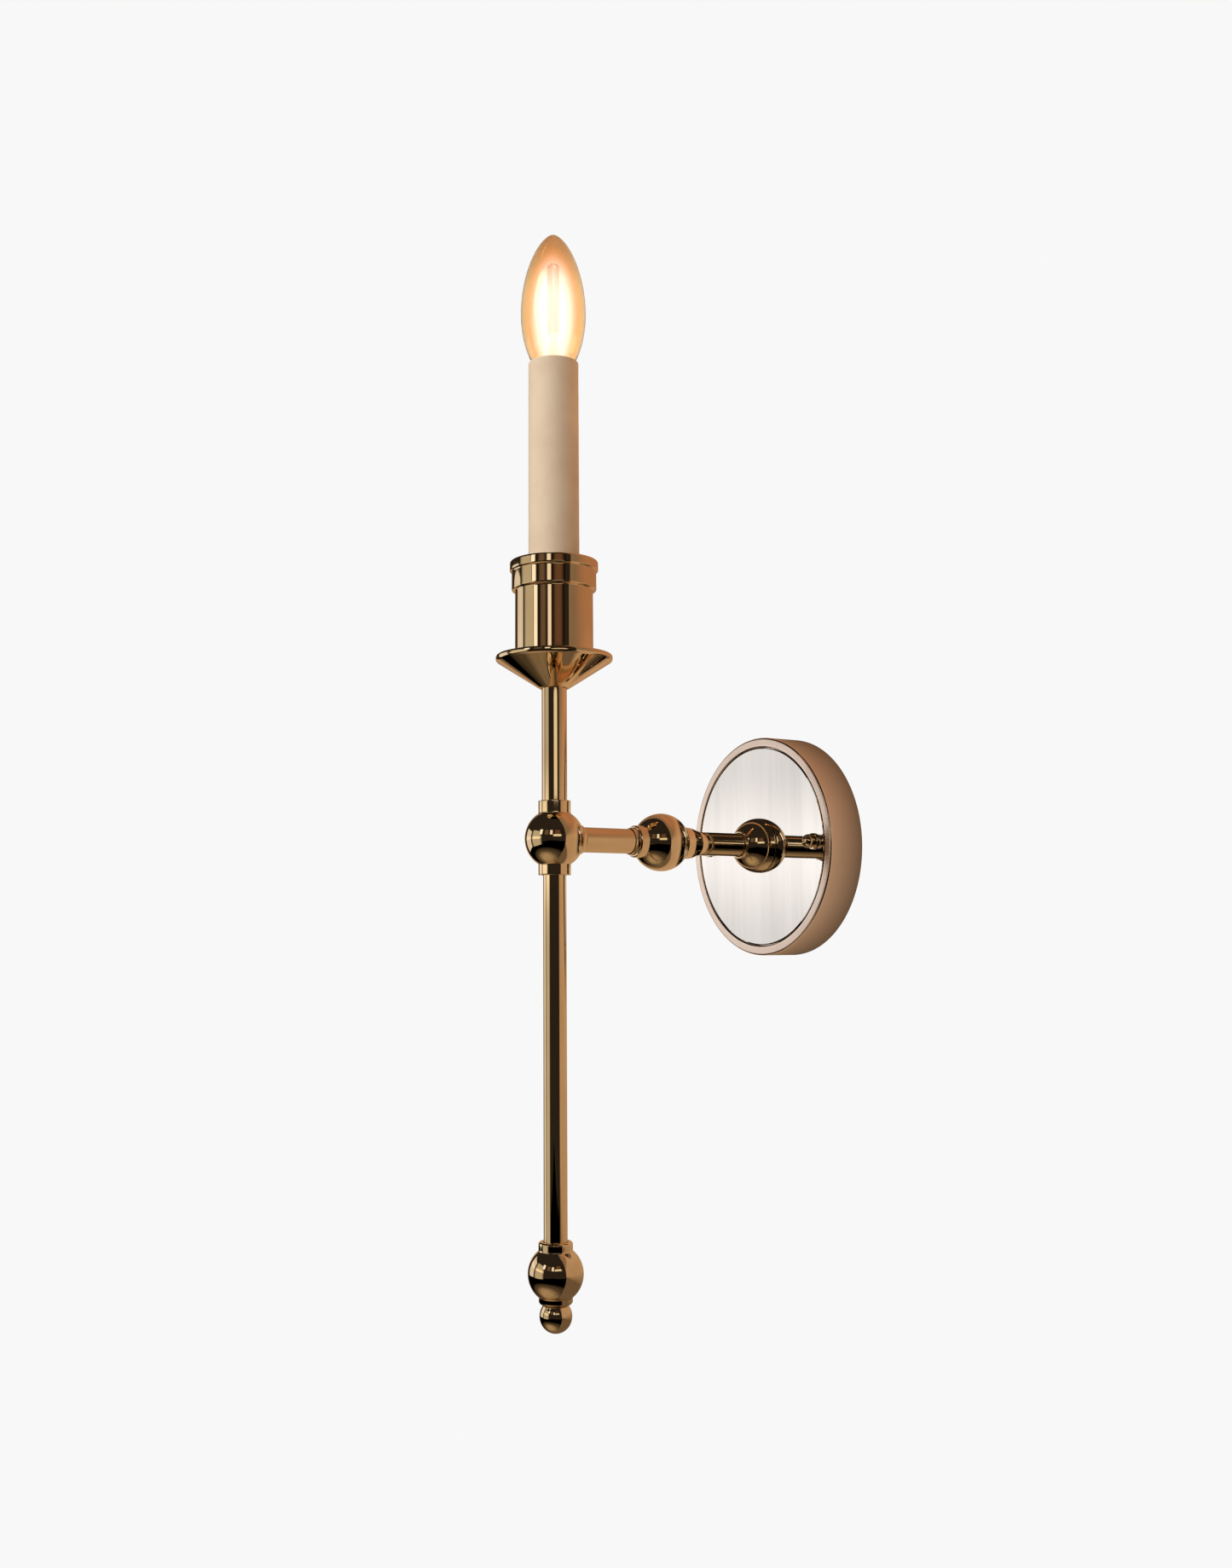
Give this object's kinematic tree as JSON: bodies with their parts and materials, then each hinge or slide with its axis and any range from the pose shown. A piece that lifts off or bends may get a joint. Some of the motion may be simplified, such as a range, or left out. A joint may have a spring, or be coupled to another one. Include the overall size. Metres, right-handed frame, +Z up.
{
  "type": "wall sconce candle holder",
  "caption": "Polished brass wall light with a mirrored round back plate, ball fittings on its arm, and an upright stem carrying a candle bulb in a sleeve, cup and drip pan.",
  "frame": {"origin": "on the wall plane at the centre of the mounting strap's back face, level with the arm's centre line", "axes": "+Z up along the stem, +Y into the wall, so the arm runs towards -Y; +X to the right when facing the wall"},
  "size_m": [0.12, 0.1844, 0.5673],
  "materials": {
    "polished_brass": "polished, unlacquered, lightly handled",
    "mirror": "silvered glass with a ground edge",
    "zinc_steel": "zinc plated",
    "cream_sleeve": "matt cream candle sleeve",
    "white_plastic": "moulded",
    "flex_sheath": "matt flex sheath",
    "nickel": "nickel plated, satin",
    "black_insulator": "black fused glass",
    "bulb_glass": "clear blown glass, warm when lit",
    "filament": "yellow coated filament, lit"
  },
  "bodies": {
    "fixture": {"wall_bracket": "zinc_steel", "stud_left": "zinc_steel", "stud_right": "zinc_steel", "earth_screw": "polished_brass", "terminal_block": "white_plastic", "terminal_screw_1": "zinc_steel", "terminal_screw_2": "zinc_steel", "terminal_screw_3": "zinc_steel", "back_plate": "polished_brass", "mirror_disc": "mirror", "hub_half_ball": "polished_brass", "hub_nipple": "zinc_steel", "nipple_washer": "zinc_steel", "nipple_nut": "zinc_steel", "arm_tube_inner": "polished_brass", "arm_ball": "polished_brass", "arm_tube_outer": "polished_brass", "tee_ball": "polished_brass", "stem_tube_upper": "polished_brass", "stem_tube_lower": "polished_brass", "finial_ball": "polished_brass", "finial_tip": "polished_brass", "drip_pan": "polished_brass", "candle_cup": "polished_brass", "holder_tube": "zinc_steel", "cup_washer": "zinc_steel", "cup_nut": "zinc_steel", "lamp_holder": "white_plastic", "holder_shell": "polished_brass", "holder_contact": "polished_brass", "inner_flex": "flex_sheath"},
    "bulb": {"bulb_cap": "nickel", "bulb_insulator": "black_insulator", "bulb_contact": "nickel", "bulb_glass": "bulb_glass", "bulb_stem": "bulb_glass", "filament_1": "filament", "filament_2": "filament", "filament_3": "filament", "filament_4": "filament", "filament_ring_lower": "nickel", "filament_ring_upper": "nickel"},
    "sleeve": {"candle_sleeve": "cream_sleeve"},
    "left_nut": {"cap_nut_left": "polished_brass"},
    "right_nut": {"cap_nut_right": "polished_brass"}
  },
  "joints": [
    {"name": "bulb_turn", "type": "hinge", "parent": "fixture", "child": "bulb", "pos_m": [0, -0.154, 0.24], "axis": [0, 0, 1], "range_deg": [0, 1260]},
    {"name": "sleeve_turn", "type": "hinge", "parent": "fixture", "child": "sleeve", "pos_m": [0, -0.154, 0.176], "axis": [0, 0, 1], "continuous": true},
    {"name": "left_nut_turn", "type": "hinge", "parent": "fixture", "child": "left_nut", "pos_m": [-0.046, -0.024, 0], "axis": [0, -1, 0], "range_deg": [0, 1800]},
    {"name": "right_nut_turn", "type": "hinge", "parent": "fixture", "child": "right_nut", "pos_m": [0.046, -0.024, 0], "axis": [0, -1, 0], "range_deg": [0, 1800]}
  ]
}
